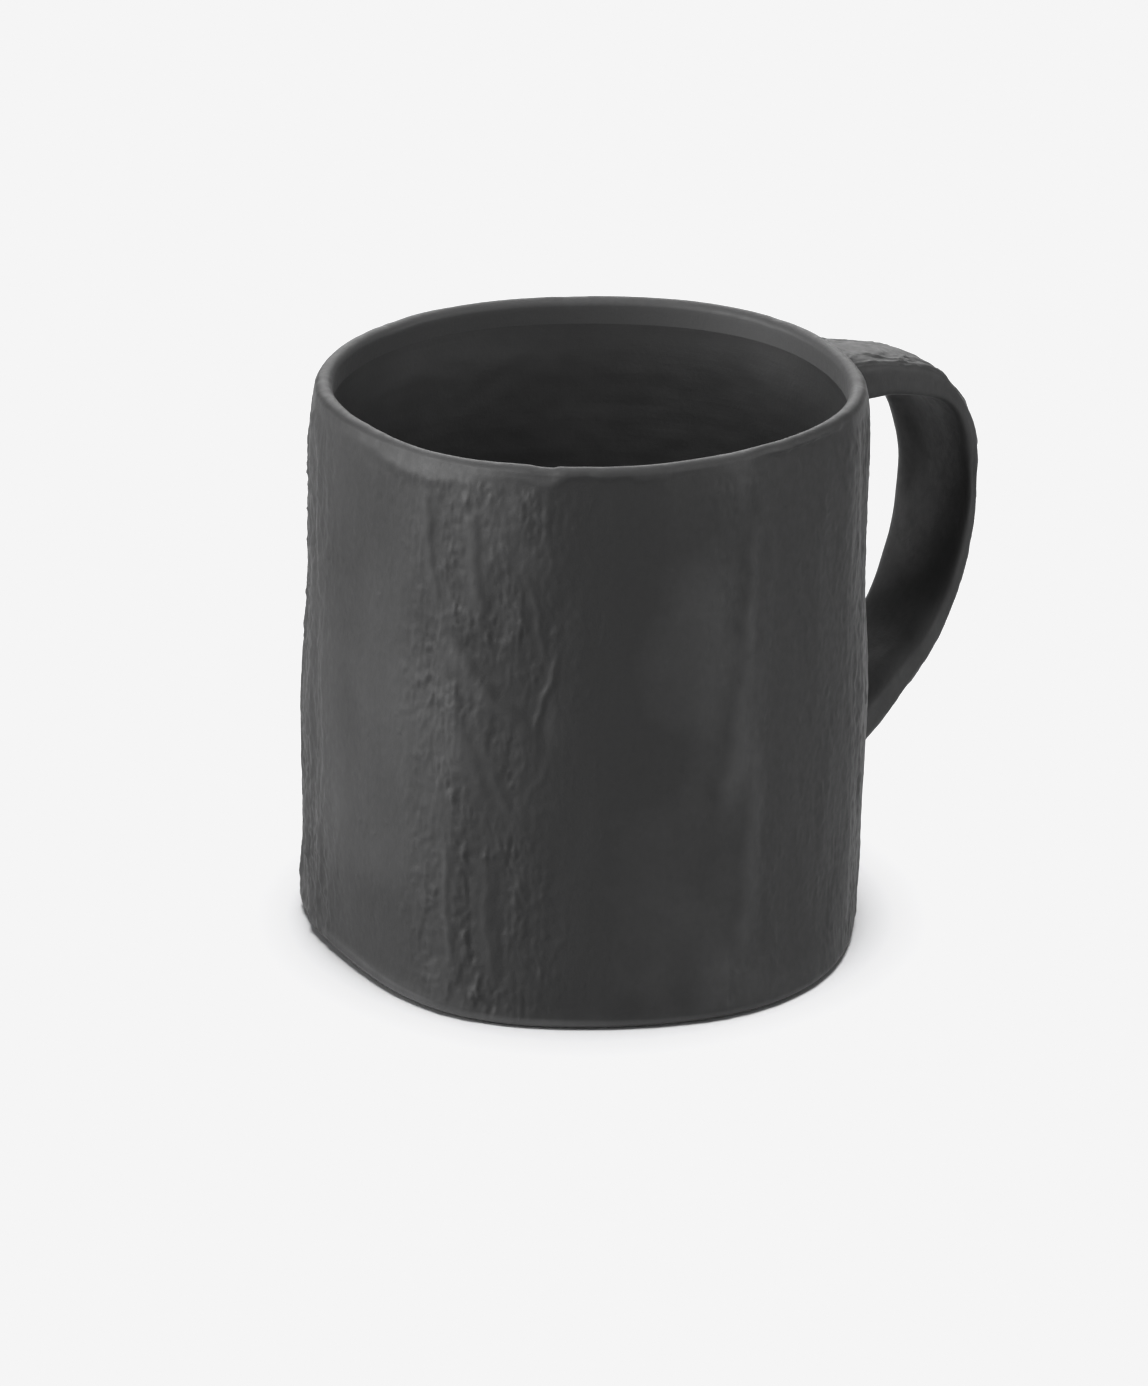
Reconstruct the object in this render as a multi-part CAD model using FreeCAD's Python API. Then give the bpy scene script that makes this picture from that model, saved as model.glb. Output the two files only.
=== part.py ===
import FreeCAD, Part
import math
import os

# A hand-built stoneware mug: a clay slab rolled into a slightly lobed tube, closed by a floor slab and a coil
# pressed into the inside corner, with a strap handle luted on at two places and a glaze lining inside.
# Millimetres and degrees. +Z is up, the origin is the middle of the foot, and the handle points along +X.

# ---- Driving dimensions ----
height = 91.8
foot_rounding = 2.0
lip_thickness = 2.7
lip_rounding = 1.25
floor_thickness = 5.0
coil_leg = 4.5
coil_feather = 0.35
glaze_thickness = 0.5
glaze_top_below_lip = 3.0

# The outside of the wall, before its lobes: (height above the foot, radius).
outside_profile = ((0.0, 44.7), (22.0, 44.8), (45.0, 44.1), (68.0, 43.1), (82.0, 42.9), (height, 42.1))

# The wall's thickness: (height above the foot, thickness).
thickness_profile = ((0.0, 4.6), (22.0, 4.6), (45.0, 4.4), (68.0, 4.1), (82.0, 3.6), (height, lip_thickness))

# Slow waves round the plan, as (crests per turn, height as a share of the radius, direction of a crest).
foot_waves = ((2, 0.0245, -67.0), (3, 0.0100, -6.6), (4, 0.0064, 0.2), (5, 0.0166, -10.2))
lip_waves = ((2, 0.0178, -45.5), (3, 0.0107, -8.6), (4, 0.0070, 37.5), (5, 0.0115, 12.6))

# The tube leans, so the middle of the lip stands this far from the middle of the foot.
lean_x = 0.79
lean_y = -1.03

# The strap, seen from the side as (distance from the middle of the foot, height): its face towards the wall
# and the edges of its outer face, from the upper root round to the lower end.
strap_inner = ((38.0, 78.6), (45.0, 78.6), (52.0, 78.3), (59.0, 77.6), (64.6, 76.2), (69.1, 73.8),
               (71.4, 70.3), (72.4, 65.6), (73.1, 58.9), (72.1, 51.5), (70.1, 45.3), (67.5, 40.0),
               (63.5, 34.9), (58.7, 30.7), (52.1, 25.8), (45.0, 21.4), (38.0, 17.5))
strap_outer = ((38.0, 86.1), (45.0, 85.7), (52.0, 84.9), (60.0, 83.2), (67.0, 80.6), (71.8, 76.1),
               (74.5, 70.9), (75.9, 65.2), (76.1, 58.5), (75.4, 50.6), (73.8, 43.7), (70.9, 37.1),
               (66.7, 30.8), (61.2, 25.1), (54.9, 19.5), (47.7, 14.1), (41.2, 10.0))

# The strap's width, and the swell of its +Y edge towards the wall: (share of the way along the strap, size).
strap_widths = ((0.0, 16.4), (0.25, 16.2), (0.4, 17.5), (0.6, 17.4), (1.0, 15.9))
strap_swells = ((0.0, 0.0), (0.15, 0.7), (0.28, 1.5), (0.36, 2.2), (0.44, 2.0), (0.55, 0.8), (0.7, -0.4),
                (1.0, -1.0))
strap_crown = 0.9
strap_squareness = 5.0

# The luted clay round each root of the strap.
joint_reach = 5.0
joint_spread = 2.6
joint_feather = 0.2
joint_depth = 4.0

# ---- How finely the curves are drawn ----
plan_points = 48
ring_heights = (0.0, 12.0, 30.0, 48.0, 66.0, 80.0, 86.0, height)
section_points = 28
strap_sections = 26
joint_sections = 9
coil_rings = 6


def value_on(profile, place):
    """The profile's value at a place along it, on a smooth curve through its points."""
    last = len(profile) - 2
    span = 0
    while span < last and place > profile[span + 1][0]:
        span += 1
    low_place, low = profile[span]
    high_place, high = profile[span + 1]
    before = profile[max(span - 1, 0)]
    after = profile[min(span + 2, len(profile) - 1)]
    slope_low = (high - before[1]) / (high_place - before[0])
    slope_high = (after[1] - low) / (after[0] - low_place)
    step = high_place - low_place
    t = (place - low_place) / step
    return (low * (1 + 2 * t) * (1 - t) ** 2 + slope_low * step * t * (1 - t) ** 2
            + high * t * t * (3 - 2 * t) - slope_high * step * t * t * (1 - t))


def lobes(angle, z):
    """The share by which the waves change the radius in one direction, from the foot's waves to the lip's."""
    share = 1.0
    rise = min(max(z / height, 0.0), 1.0)
    for waves, weight in ((foot_waves, 1 - rise), (lip_waves, rise)):
        for crests, size, crest in waves:
            share += weight * size * math.cos(crests * (angle - math.radians(crest)))
    return share


def plan_ring(z, inset, at_height=None):
    """A closed level curve, inset from the outside of the wall at height z and drawn at at_height."""
    drawn_z = z if at_height is None else at_height
    points = []
    for i in range(plan_points):
        angle = 2 * math.pi * i / plan_points
        radius = value_on(outside_profile, min(max(z, 0.0), height)) * lobes(angle, z) - inset
        x = radius * math.cos(angle) + lean_x * z / height
        y = radius * math.sin(angle) + lean_y * z / height
        points.append(FreeCAD.Vector(x, y, drawn_z))
    curve = Part.BSplineCurve()
    curve.interpolate(Points=points, PeriodicFlag=True)
    return Part.Wire([curve.toShape()])


def wall_thickness(z):
    return value_on(thickness_profile, min(max(z, 0.0), height))


def level_slice(low_z, high_z):
    """A slab of space between two heights, wider than the mug."""
    wide = 4 * outside_profile[0][1]
    return Part.makeBox(wide, wide, high_z - low_z, FreeCAD.Vector(-wide / 2, -wide / 2, low_z))


def edges_at_height(shape, z):
    """The shape's edges that lie level at height z."""
    near = 0.0001
    found = []
    for edge in shape.Edges:
        box = edge.BoundBox
        if abs(box.ZMin - z) < near and abs(box.ZMax - z) < near:
            found.append(edge)
    return found


def tube_outside():
    """The solid bounded by the outside of the wall, with its foot rounded."""
    rings = [plan_ring(z, 0.0) for z in ring_heights]
    solid = Part.makeLoft(rings, True, False)
    return solid.makeFillet(foot_rounding, edges_at_height(solid, 0.0))


def tube_inside():
    """The space inside the wall, run past both its ends."""
    past = 1.0
    rings = [plan_ring(0.0, wall_thickness(0.0), -past)]
    rings += [plan_ring(z, wall_thickness(z)) for z in ring_heights]
    rings.append(plan_ring(height, wall_thickness(height), height + past))
    return Part.makeLoft(rings, True, False)


def make_wall(outside, inside):
    """The tube, with its lip rounded inside and out."""
    wall = outside.cut(inside)
    return wall.makeFillet(lip_rounding, edges_at_height(wall, height))


def corner_inset(rise):
    """How far the hollow of the corner coil stands in from the wall, rise above the floor."""
    drop = coil_leg - min(rise, coil_leg)
    return coil_feather + coil_leg - math.sqrt(coil_leg ** 2 - drop ** 2)


def corner_hollow(skin):
    """The space over the floor inside the corner coil, drawn in by skin all round."""
    rings = []
    for i in range(coil_rings + 1):
        turn = 0.5 * math.pi * i / coil_rings
        rise = coil_leg * (1 - math.cos(turn))
        z = floor_thickness + rise
        rings.append(plan_ring(z, wall_thickness(z) + corner_inset(rise) + skin, z + skin))
    return Part.makeLoft(rings, True, True)


def make_coil(inside):
    """The coil fills the inside corner between the floor and the wall, with a hollow face."""
    corner = inside.common(level_slice(floor_thickness, floor_thickness + coil_leg))
    return corner.cut(corner_hollow(0.0))


def make_glaze(inside, coil):
    """A thin skin over the floor, the coil and the wall, which stops below the lip."""
    top = height - glaze_top_below_lip
    lined = inside.common(level_slice(floor_thickness, top)).cut(coil)
    low = floor_thickness + coil_leg + glaze_thickness
    heights = [low] + [z for z in ring_heights if z > low]
    rings = [plan_ring(z, wall_thickness(z) + glaze_thickness) for z in heights]
    drink = Part.makeLoft(rings, True, False)
    corner_drink = corner_hollow(glaze_thickness)
    return lined.cut(drink.fuse(corner_drink))


def path_point(path, t):
    """The point a share t of the way along a smooth curve through the path's points."""
    spans = len(path) - 1
    span = min(int(t * spans), spans - 1)
    u = t * spans - span
    a = path[max(span - 1, 0)]
    b = path[span]
    c = path[span + 1]
    d = path[min(span + 2, spans)]
    return [0.5 * (2 * b[k] + (c[k] - a[k]) * u + (2 * a[k] - 5 * b[k] + 4 * c[k] - d[k]) * u * u
                   + (3 * b[k] - a[k] - 3 * c[k] + d[k]) * u ** 3) for k in range(2)]


def strap_section(t, grow):
    """The strap's cross-section at t, grown by grow all round, with soft corners, the crown and the swell."""
    inner = path_point(strap_inner, t)
    outer = path_point(strap_outer, t)
    thickness = math.dist(inner, outer)
    unit_x = (outer[0] - inner[0]) / thickness
    unit_z = (outer[1] - inner[1]) / thickness
    middle_x = (inner[0] + outer[0]) / 2
    middle_z = (inner[1] + outer[1]) / 2
    half_width = value_on(strap_widths, t) / 2 + grow
    swell = value_on(strap_swells, t)
    half_thickness = thickness / 2 + grow
    power = 2 / strap_squareness
    points = []
    for i in range(section_points):
        turn = 2 * math.pi * (i + 0.5) / section_points
        side = math.copysign(abs(math.cos(turn)) ** power, math.cos(turn))
        out = math.copysign(abs(math.sin(turn)) ** power, math.sin(turn))
        depth = half_thickness * out
        depth += strap_crown * (1 - side * side) * max(out, 0.0)
        depth -= swell * max(side, 0.0) ** 2 * max(-out, 0.0)
        points.append(FreeCAD.Vector(middle_x + unit_x * depth, half_width * side, middle_z + unit_z * depth))
    return points


def skinned_solid(sections):
    """A solid with one smooth skin, whose control points are closed sections, and a flat cap at each end."""
    degree = 3
    along = len(sections)
    around = len(sections[0])
    end_repeats = [degree + 1]
    knots_along = end_repeats + [1] * (along - degree - 1) + end_repeats
    knots_around = [1] * (around + 1)
    surface = Part.BSplineSurface()
    surface.buildFromPolesMultsKnots(sections, knots_along, knots_around, list(range(len(knots_along))),
                                     list(range(len(knots_around))), False, True, degree, degree)
    skin = surface.toShape()
    caps = []
    for u in surface.bounds()[:2]:
        caps.append(Part.Face(Part.Wire([surface.uIso(u).toShape()])))
    shell = Part.makeShell([skin] + caps)
    shell.sewShape()
    solid = Part.makeSolid(shell)
    if solid.Volume < 0:
        solid.reverse()
    return solid


def make_strap():
    """The whole strap, with both its ends run into the wall."""
    return skinned_solid([strap_section(i / (strap_sections - 1), 0.0) for i in range(strap_sections)])


def wall_crossing(from_start):
    """The share t at which the middle of the strap crosses the outside of the wall."""
    steps = 400
    for i in range(steps + 1):
        t = i / steps if from_start else 1 - i / steps
        inner = path_point(strap_inner, t)
        outer = path_point(strap_outer, t)
        reach = (inner[0] + outer[0]) / 2
        z = (inner[1] + outer[1]) / 2
        if reach > value_on(outside_profile, z) * lobes(0.0, z) + lean_x * z / height:
            return t
    raise ValueError("the strap never leaves the wall")


def make_joint(strap, outside, from_start):
    """Luted clay round one root of the strap, widest at the wall and feathered out along the strap."""
    root = wall_crossing(from_start)
    path_length = sum(math.dist(a, b) for a, b in zip(strap_inner, strap_inner[1:]))
    direction = 1 if from_start else -1
    sections = []
    for i in range(joint_sections):
        along = -joint_depth + (joint_reach + joint_depth) * i / (joint_sections - 1)
        grow = joint_feather + joint_spread * (1 - max(along, 0.0) / joint_reach) ** 2
        sections.append(strap_section(root + direction * along / path_length, grow))
    return skinned_solid(sections).cut(outside).cut(strap)


def main():
    os.makedirs("parts", exist_ok=True)
    outside = tube_outside()
    inside = tube_inside()
    strap = make_strap()
    coil = make_coil(inside)
    nodes = {
        "wall_slab": make_wall(outside, inside),
        "base_slab": inside.common(level_slice(0.0, floor_thickness)),
        "base_joint_coil": coil,
        "liner_glaze": make_glaze(inside, coil),
        "handle_strap": strap.cut(outside),
        "handle_upper_joint": make_joint(strap, outside, True),
        "handle_lower_joint": make_joint(strap, outside, False),
    }
    for name, shape in nodes.items():
        box = shape.BoundBox
        print(name, shape.isValid(), len(shape.Solids), "solid", round(shape.Volume / 1000, 2), "cm3",
              [round(v, 1) for v in (box.XMin, box.YMin, box.ZMin, box.XMax, box.YMax, box.ZMax)])
        shape.exportStep(f"parts/{name}.step")


main()
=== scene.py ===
"""A hand-built charcoal stoneware mug. Its lengths are in millimetres until a mesh is made, and the camera's
and the studio's are in metres. Angles round the mug are in degrees from +X, where the handle is, and heights
are above the surface that the mug stands on."""
import math

import bpy
import numpy as np
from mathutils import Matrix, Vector
from mathutils.bvhtree import BVHTree


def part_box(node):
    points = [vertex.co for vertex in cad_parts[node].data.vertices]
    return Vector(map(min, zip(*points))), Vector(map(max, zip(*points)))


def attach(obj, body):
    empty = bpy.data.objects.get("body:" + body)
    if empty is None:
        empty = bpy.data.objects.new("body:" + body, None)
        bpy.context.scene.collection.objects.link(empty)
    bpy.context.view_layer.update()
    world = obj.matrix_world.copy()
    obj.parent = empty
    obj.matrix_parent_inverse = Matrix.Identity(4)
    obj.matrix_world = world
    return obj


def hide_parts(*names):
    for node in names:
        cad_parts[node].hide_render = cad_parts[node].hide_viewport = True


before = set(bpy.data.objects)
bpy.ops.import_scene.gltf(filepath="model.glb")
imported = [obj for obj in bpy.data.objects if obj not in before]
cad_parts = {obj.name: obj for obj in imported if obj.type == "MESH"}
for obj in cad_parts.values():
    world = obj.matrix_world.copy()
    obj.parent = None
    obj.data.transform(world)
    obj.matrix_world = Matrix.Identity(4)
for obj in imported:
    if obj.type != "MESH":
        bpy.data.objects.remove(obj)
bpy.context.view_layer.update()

MM = 0.001
BODY = "root"

# ---- Camera: it turns about a pivot on the mug's axis, and is aimed a little to its left and below it ----
CAMERA_PIVOT_HEIGHT = 45 * MM
CAMERA_DISTANCE = 900 * MM
CAMERA_AZIMUTH = -38.0
CAMERA_ELEVATION = 22.3
AIM_LEFT = 1.415 * MM
AIM_BELOW = 6.09 * MM
CAMERA_LENS = 147.0
SENSOR_LONG_SIDE = 36.0

# ---- Studio ----
# Each lamp's name, bearing from the camera's right round by the back, height, strength and spread. The
# bearing, height and spread are in degrees.
SOFTBOXES = (("left", 186, 9, 3.3, 18), ("front_left", 215, 24, 4.7, 40), ("right", -24, 16, 3.3, 50),
             ("back", 92, 30, 2.9, 50), ("top", 90, 90, 3.2, 50))
LAMP_OFF_THE_LINING = "front_left"
LINING_LAMP = ("lining_fill", 240, 42, 3.2, 60)
TABLE_LAMP = ("overhead", 90, 90, 4.25, 28)
SKY_LIGHT = 0.125
PAPER_TONE = 0.80
TABLE_HALF_SIDE = 3.0
BACKDROP_RADIUS = 2.9
BACKDROP_FOOT = -0.01
BACKDROP_TOP = 3.0
BACKDROP_SIDES = 48
BACKDROP_GLOW = 1.3
# Tones are shown as they are up to the knee. Above it they flatten out to the paper's white.
TONE_KNEE = 0.86
PAPER_WHITE = 0.913

# ---- Tones, as the share of the light that the clay and the glaze reflect ----
CLAY_TONE = 0.012
GLAZE_TONES = (0.0155, 0.0205)
# How many times lighter the clay is where it is wiped, and at the foot's edge, where painted light stands for
# the table's bounce, and where that light ends.
WIPED_LIGHTER = 2.1
FOOT_BOUNCE_LIGHTER = 4.5
FOOT_BOUNCE_FULL_BELOW = 0.3 * MM
FOOT_BOUNCE_GONE_ABOVE = 1.8 * MM

# ---- The wall, the floor and the lining ----
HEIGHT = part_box("wall_slab")[1].z / MM
FLOOR_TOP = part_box("base_slab")[1].z / MM
GLAZE_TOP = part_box("liner_glaze")[1].z / MM
WALL_RADIUS = 44.5
FOOT_ROUNDING = 2.0
FOOT_CHAMFER = 0.4
LIP_RISE = 1.2
GLAZE_THICKNESS = 0.5
GLAZE_FEATHER = 8.0
CORNER_RADIUS = 4.8
WALL_COLUMNS = 960
OUTSIDE_ROWS = 265
LIP_ROWS = 17
INSIDE_ROWS = 26
LINING_COLUMNS = 360
LINING_ROWS = 90
BASE_COLUMNS = 240

# ---- How the CAD wall is measured: rays round it and up it, and the waves and powers fitted to them ----
MEASURED_BEARINGS = 72
MEASURED_HEIGHTS = 26
MEASURED_FROM = FOOT_ROUNDING + 0.6
MEASURED_TO = HEIGHT - 1.8
MEASURED_HARMONICS = 6
MEASURED_POWERS = 6

# ---- The strap, whose side outlines are the CAD's: (distance from the middle of the foot, height) ----
STRAP_INNER = ((38.0, 78.6), (45.0, 78.6), (52.0, 78.3), (59.0, 77.6), (64.6, 76.2), (69.1, 73.8),
               (71.4, 70.3), (72.4, 65.6), (73.1, 58.9), (72.1, 51.5), (70.1, 45.3), (67.5, 40.0),
               (63.5, 34.9), (58.7, 30.7), (52.1, 25.8), (45.0, 21.4), (38.0, 17.5))
STRAP_OUTER = ((38.0, 86.1), (45.0, 85.7), (52.0, 84.9), (60.0, 83.2), (67.0, 80.6), (71.8, 76.1),
               (74.5, 70.9), (75.9, 65.2), (76.1, 58.5), (75.4, 50.6), (73.8, 43.7), (70.9, 37.1),
               (66.7, 30.8), (61.2, 25.1), (54.9, 19.5), (47.7, 14.1), (41.2, 10.0))
# Shares of the way along the strap, with its width and the swell of its far edge towards the mug at each.
STRAP_WIDTHS = ((0.0, 16.4), (0.25, 16.2), (0.4, 17.5), (0.6, 17.4), (1.0, 15.9))
STRAP_SWELLS = ((0.0, 0.0), (0.15, 0.8), (0.28, 2.0), (0.36, 2.7), (0.44, 2.5), (0.55, 1.3), (0.7, 0.1),
                (1.0, -0.8))
STRAP_CROWN = 0.8
STRAP_FACET = 0.6
# How square its section is, where 2 would be an ellipse. The inner face's is (share of the way along, value).
STRAP_SQUARENESS = 6.0
STRAP_INNER_SQUARENESS = ((0.0, 6.0), (0.22, 6.0), (0.45, 2.8), (1.0, 2.8))
STRAP_ROWS = 280
STRAP_COLUMNS = 144
STRAP_BURIED = 1.8
# The strap's usual half width and half thickness, by which its points are spaced round its section.
STRAP_HALF_WIDTH = 8.2
STRAP_HALF_THICKNESS = 2.6

# ---- The luted clay round each root of the strap ----
JOINT_REACH = 4.5
JOINT_SPREAD = 3.6
JOINT_STEPS = 14
JOINT_COLUMNS = 96
JOINT_BURIED = 1.2
JOINT_INSIDE_STRAP = 0.8


# ---------------------------------------------------------------- relief helpers

def smooth(x, low, high):
    """Rises smoothly from 0 at low to 1 at high."""
    t = np.clip((x - low) / (high - low), 0.0, 1.0)
    return t * t * (3 - 2 * t)


def bump(x, middle, half_width):
    """A soft bell, 1 at middle."""
    return np.exp(-((x - middle) / half_width) ** 2)


def angle_from(angle, middle):
    """Degrees from middle round to angle, from -180 to 180."""
    return (angle - middle + 180) % 360 - 180


def bumps(angle, table):
    """The sum of soft bells round the mug, each given as (angle, half width, size)."""
    return sum(size * bump(angle_from(angle, middle), 0, half_width) for middle, half_width, size in table)


def ease(x):
    """A step from 0 to 1 that starts and ends without a crease."""
    return x ** 3 * (x * (6 * x - 15) + 10)


def hills(seed, u, v, around):
    """Smooth random hills, about -1 to 1, one to a cell of (u, v). They repeat in u after around cells."""
    rows = int(np.ceil(v.max() - min(v.min(), 0))) + 3
    v = v - min(v.min(), 0)
    turn = np.random.default_rng(seed).uniform(0, 2 * np.pi, (rows, around))
    slope_u, slope_v = np.cos(turn), np.sin(turn)
    i, j = np.floor(u).astype(int), np.floor(v).astype(int)
    fu, fv = u - i, v - j
    total = np.zeros(np.broadcast(u, v).shape)
    for di in (0, 1):
        for dj in (0, 1):
            a, b = (i + di) % around, j + dj
            weight = ease(1 - abs(fu - di)) * ease(1 - abs(fv - dj))
            total += weight * (slope_u[b, a] * (fu - di) + slope_v[b, a] * (fv - dj))
    return total * 1.5


def plates(seed, u, v, around, softness=0.035):
    """Overlapping flat plates, one to a cell of (u, v), each with its own height and tilt, about -1 to 1."""
    rows = int(np.ceil(v.max())) + 4
    rng = np.random.default_rng(seed)
    place_u, place_v = rng.uniform(0, 1, (2, rows, around))
    level, tilt_u, tilt_v = rng.uniform(-1, 1, (3, rows, around))
    i, j = np.floor(u).astype(int), np.floor(v).astype(int)
    total, weights = 0, 0
    for di in (-1, 0, 1):
        for dj in (-1, 0, 1):
            a, b = (i + di) % around, np.clip(j + dj + 1, 0, rows - 1)
            du, dv = u - i - di - place_u[b, a], v - j - dj - place_v[b, a]
            weight = np.exp(-(du ** 2 + dv ** 2) / softness)
            total = total + weight * (0.6 * level[b, a] + 0.7 * tilt_u[b, a] * du + 0.5 * tilt_v[b, a] * dv)
            weights = weights + weight
    return total / (weights + 1e-9)


def crests(field, sharpness):
    """Thin ridges where a field of hills crosses 0."""
    return np.exp(-np.abs(field) * sharpness)


# ---------------------------------------------------------------- measuring the CAD wall

class WallSurface:
    """One side of the CAD wall as a smooth radius for every angle and height."""

    def __init__(self, outside):
        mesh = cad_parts["wall_slab"].data
        tree = BVHTree.FromPolygons([v.co for v in mesh.vertices], [p.vertices for p in mesh.polygons])
        angles = np.arange(MEASURED_BEARINGS) * 2 * np.pi / MEASURED_BEARINGS
        heights = np.linspace(MEASURED_FROM, MEASURED_TO, MEASURED_HEIGHTS)
        well_outside = 100 * MM
        radii = np.empty((len(heights), len(angles)))
        for row, z in enumerate(heights):
            for column, angle in enumerate(angles):
                ray = Vector((math.cos(angle), math.sin(angle), 0))
                axis = Vector((0, 0, z * MM))
                start = axis + ray * well_outside if outside else axis
                hit = tree.ray_cast(start, -ray if outside else ray)[0]
                radii[row, column] = (hit - axis).length / MM
        waves = np.fft.rfft(radii, axis=1)[:, :MEASURED_HARMONICS + 1] / len(angles)
        waves[:, 1:] *= 2
        self.real = [np.polyfit(heights / HEIGHT, wave.real, MEASURED_POWERS) for wave in waves.T]
        self.imaginary = [np.polyfit(heights / HEIGHT, wave.imag, MEASURED_POWERS) for wave in waves.T]

    def radius(self, degrees, z):
        """The radius in millimetres at angles and heights, which are arrays that go together."""
        angle = np.radians(degrees)
        share = np.clip(z, 0, HEIGHT) / HEIGHT
        total = 0
        for n, (real, imaginary) in enumerate(zip(self.real, self.imaginary)):
            total = total + np.polyval(real, share) * np.cos(n * angle)
            total = total - np.polyval(imaginary, share) * np.sin(n * angle)
        return total


outside = WallSurface(True)
inside = WallSurface(False)


# ---------------------------------------------------------------- mesh helpers

def mesh_object(name, points, faces, **layers):
    """A smooth-shaded object from points in millimetres, with faces turned outwards and layers of values."""
    points = np.asarray(points, float).reshape(-1, 3)
    faces = np.asarray(faces)
    a, b, c = (points[faces[:, k]] for k in (0, 1, 2))
    d = points[faces[:, 3]]
    volume = np.einsum("ij,ij->", a, np.cross(b, c)) + np.einsum("ij,ij->", a, np.cross(c, d))
    if volume < 0:
        faces = faces[:, ::-1]
    rows = [tuple(dict.fromkeys(face)) for face in faces.tolist()]
    mesh = bpy.data.meshes.new(name)
    mesh.from_pydata((points * MM).tolist(), [], rows)
    mesh.polygons.foreach_set("use_smooth", [True] * len(mesh.polygons))
    for layer, values in layers.items():
        attribute = mesh.attributes.new(layer, "FLOAT", "POINT")
        attribute.data.foreach_set("value", np.asarray(values, float).ravel())
    mesh.update()
    obj = bpy.data.objects.new(name, mesh)
    bpy.context.collection.objects.link(obj)
    return obj


def ring_faces(rows, columns, wrap_rows):
    """Faces between rows of points, closed round each row and, if wrap_rows, from last row to first."""
    j, i = np.meshgrid(np.arange(rows if wrap_rows else rows - 1), np.arange(columns), indexing="ij")
    over, after = (j + 1) % rows, (i + 1) % columns
    faces = np.stack([j * columns + i, j * columns + after, over * columns + after, over * columns + i], -1)
    return faces.reshape(-1, 4)


def capped_tube(name, grid, **layers):
    """A solid from rows of points round a tube, with its ends closed by fans."""
    rows, columns = grid.shape[:2]
    points = [grid.reshape(-1, 3), grid[0].mean(0)[None], grid[-1].mean(0)[None]]
    first, last = rows * columns, rows * columns + 1
    i = np.arange(columns)
    after = (i + 1) % columns
    top = (rows - 1) * columns
    start_cap = np.stack([after, i, np.full(columns, first), np.full(columns, first)], -1)
    end_cap = np.stack([top + i, top + after, np.full(columns, last), np.full(columns, last)], -1)
    faces = np.concatenate([ring_faces(rows, columns, False), start_cap, end_cap])
    layers = {layer: np.concatenate([values.ravel(), [0, 0]]) for layer, values in layers.items()}
    return mesh_object(name, np.concatenate(points), faces, **layers)


def lathe(radius, z, degrees):
    """Points for rows of radii and heights round the mug's axis."""
    angle = np.radians(degrees)
    return np.stack([radius * np.cos(angle), radius * np.sin(angle), z + 0 * radius], -1)


def claim(piece, nodes, material):
    """Gives a piece its body and its material, and hides the CAD nodes that it stands for."""
    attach(piece, BODY)
    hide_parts(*nodes)
    piece.data.materials.append(material)
    return piece


# ---------------------------------------------------------------- materials

class Nodes:
    """Short calls for a material's node tree."""

    def __init__(self, name):
        self.material = bpy.data.materials.new(name)
        self.material.use_nodes = True
        self.tree = self.material.node_tree
        self.shader = self.tree.nodes["Principled BSDF"]
        self.place = self.add("ShaderNodeTexCoord").outputs["Object"]

    def add(self, kind, inputs=(), **settings):
        node = self.tree.nodes.new(kind)
        for key, value in settings.items():
            setattr(node, key, value)
        for key, value in dict(inputs).items():
            if isinstance(value, bpy.types.NodeSocket):
                self.tree.links.new(value, node.inputs[key])
            else:
                node.inputs[key].default_value = value
        return node

    def noise(self, scale, detail=4.0, roughness=0.6, stretch=None):
        """Noise with scale hills to the metre, drawn out by stretch along each axis."""
        place = self.place
        if stretch is not None:
            place = self.add("ShaderNodeMapping", {"Vector": place, "Scale": stretch}).outputs[0]
        inputs = {"Vector": place, "Scale": scale, "Detail": detail, "Roughness": roughness}
        return self.add("ShaderNodeTexNoise", inputs).outputs["Fac"]

    def between(self, value, low, high, from_low=0.0, from_high=1.0):
        inputs = {"Value": value, "From Min": from_low, "From Max": from_high, "To Min": low, "To Max": high}
        return self.add("ShaderNodeMapRange", inputs).outputs[0]

    def math(self, operation, a, b):
        return self.add("ShaderNodeMath", {0: a, 1: b}, operation=operation).outputs[0]

    def mix(self, factor, a, b):
        node = self.add("ShaderNodeMix", data_type="RGBA")
        for socket, value in zip((node.inputs[0], node.inputs[6], node.inputs[7]), (factor, a, b)):
            if isinstance(value, bpy.types.NodeSocket):
                self.tree.links.new(value, socket)
            else:
                socket.default_value = value
        return node.outputs[2]

    def bump(self, height, distance_mm, strength=1.0, under=None):
        inputs = {"Height": height, "Distance": distance_mm * MM, "Strength": strength}
        if under is not None:
            inputs["Normal"] = under
        return self.add("ShaderNodeBump", inputs).outputs[0]

    def set(self, **inputs):
        for key, value in inputs.items():
            socket = self.shader.inputs[key.replace("_", " ")]
            if isinstance(value, bpy.types.NodeSocket):
                self.tree.links.new(value, socket)
            else:
                socket.default_value = value


def grey(value):
    """A grey that is very slightly blue."""
    return (value, value, value * 1.01, 1.0)


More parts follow.
